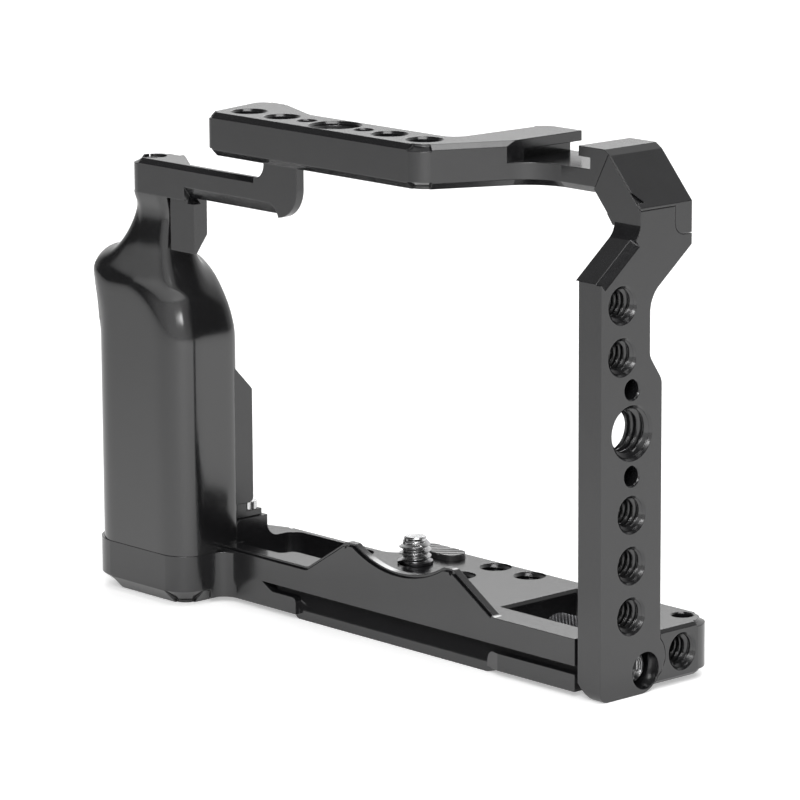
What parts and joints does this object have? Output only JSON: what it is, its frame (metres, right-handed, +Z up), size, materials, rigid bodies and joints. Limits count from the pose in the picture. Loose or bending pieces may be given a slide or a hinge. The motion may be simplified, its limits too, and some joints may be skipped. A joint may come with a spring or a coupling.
{
  "type": "camera cage",
  "caption": "Bolted metal cage for a mirrorless camera with a hand grip, threaded side arm, top bar with cold shoe, and a captive base screw.",
  "frame": {"origin": "centre of the bounding box in plan, at the height of the flat underside of the base's front feet, the grip block and the arm's foot", "axes": "+X from the hand grip to the side arm, +Y from the lens side to the back of the camera, +Z up from the base to the top bar"},
  "size_m": [0.136, 0.042, 0.1],
  "materials": {
    "black_alloy": "black anodised, satin",
    "gloss_grip": "semi-gloss moulded",
    "bright_steel": "bright machined",
    "dark_steel": "blackened",
    "brass": "plain",
    "rubber": "ribbed, matt"
  },
  "bodies": {
    "cage": {"base_plate": "black_alloy", "side_arm": "black_alloy", "top_plate": "black_alloy", "hand_grip": "gloss_grip", "rear_post": "black_alloy", "post_screw": "bright_steel", "grip_top_screw": "dark_steel", "grip_bottom_screws": "dark_steel", "grip_inserts": "brass", "grip_dowels": "bright_steel", "arm_lower_screw": "bright_steel", "arm_upper_screws": "dark_steel", "arm_dowel": "bright_steel", "rubber_pad": "rubber", "driver_magnets": "bright_steel"},
    "screw_carrier": {"screw_clip": "dark_steel", "screw_washer": "bright_steel"},
    "tie_screw": {"camera_screw": "bright_steel"},
    "driver": {"driver_knob": "dark_steel", "driver_blade": "bright_steel"}
  },
  "joints": [
    {"name": "screw_lift", "type": "slide", "parent": "cage", "child": "screw_carrier", "axis": [0, 0, 1], "range_m": [0, 0.0026]},
    {"name": "screw_spin", "type": "hinge", "parent": "screw_carrier", "child": "tie_screw", "pos_m": [-0.001, 0.0083, 0.006], "axis": [0, 0, 1], "continuous": true},
    {"name": "driver_pull", "type": "slide", "parent": "cage", "child": "driver", "axis": [0, 0, -1], "range_m": [0, 0.009]}
  ]
}
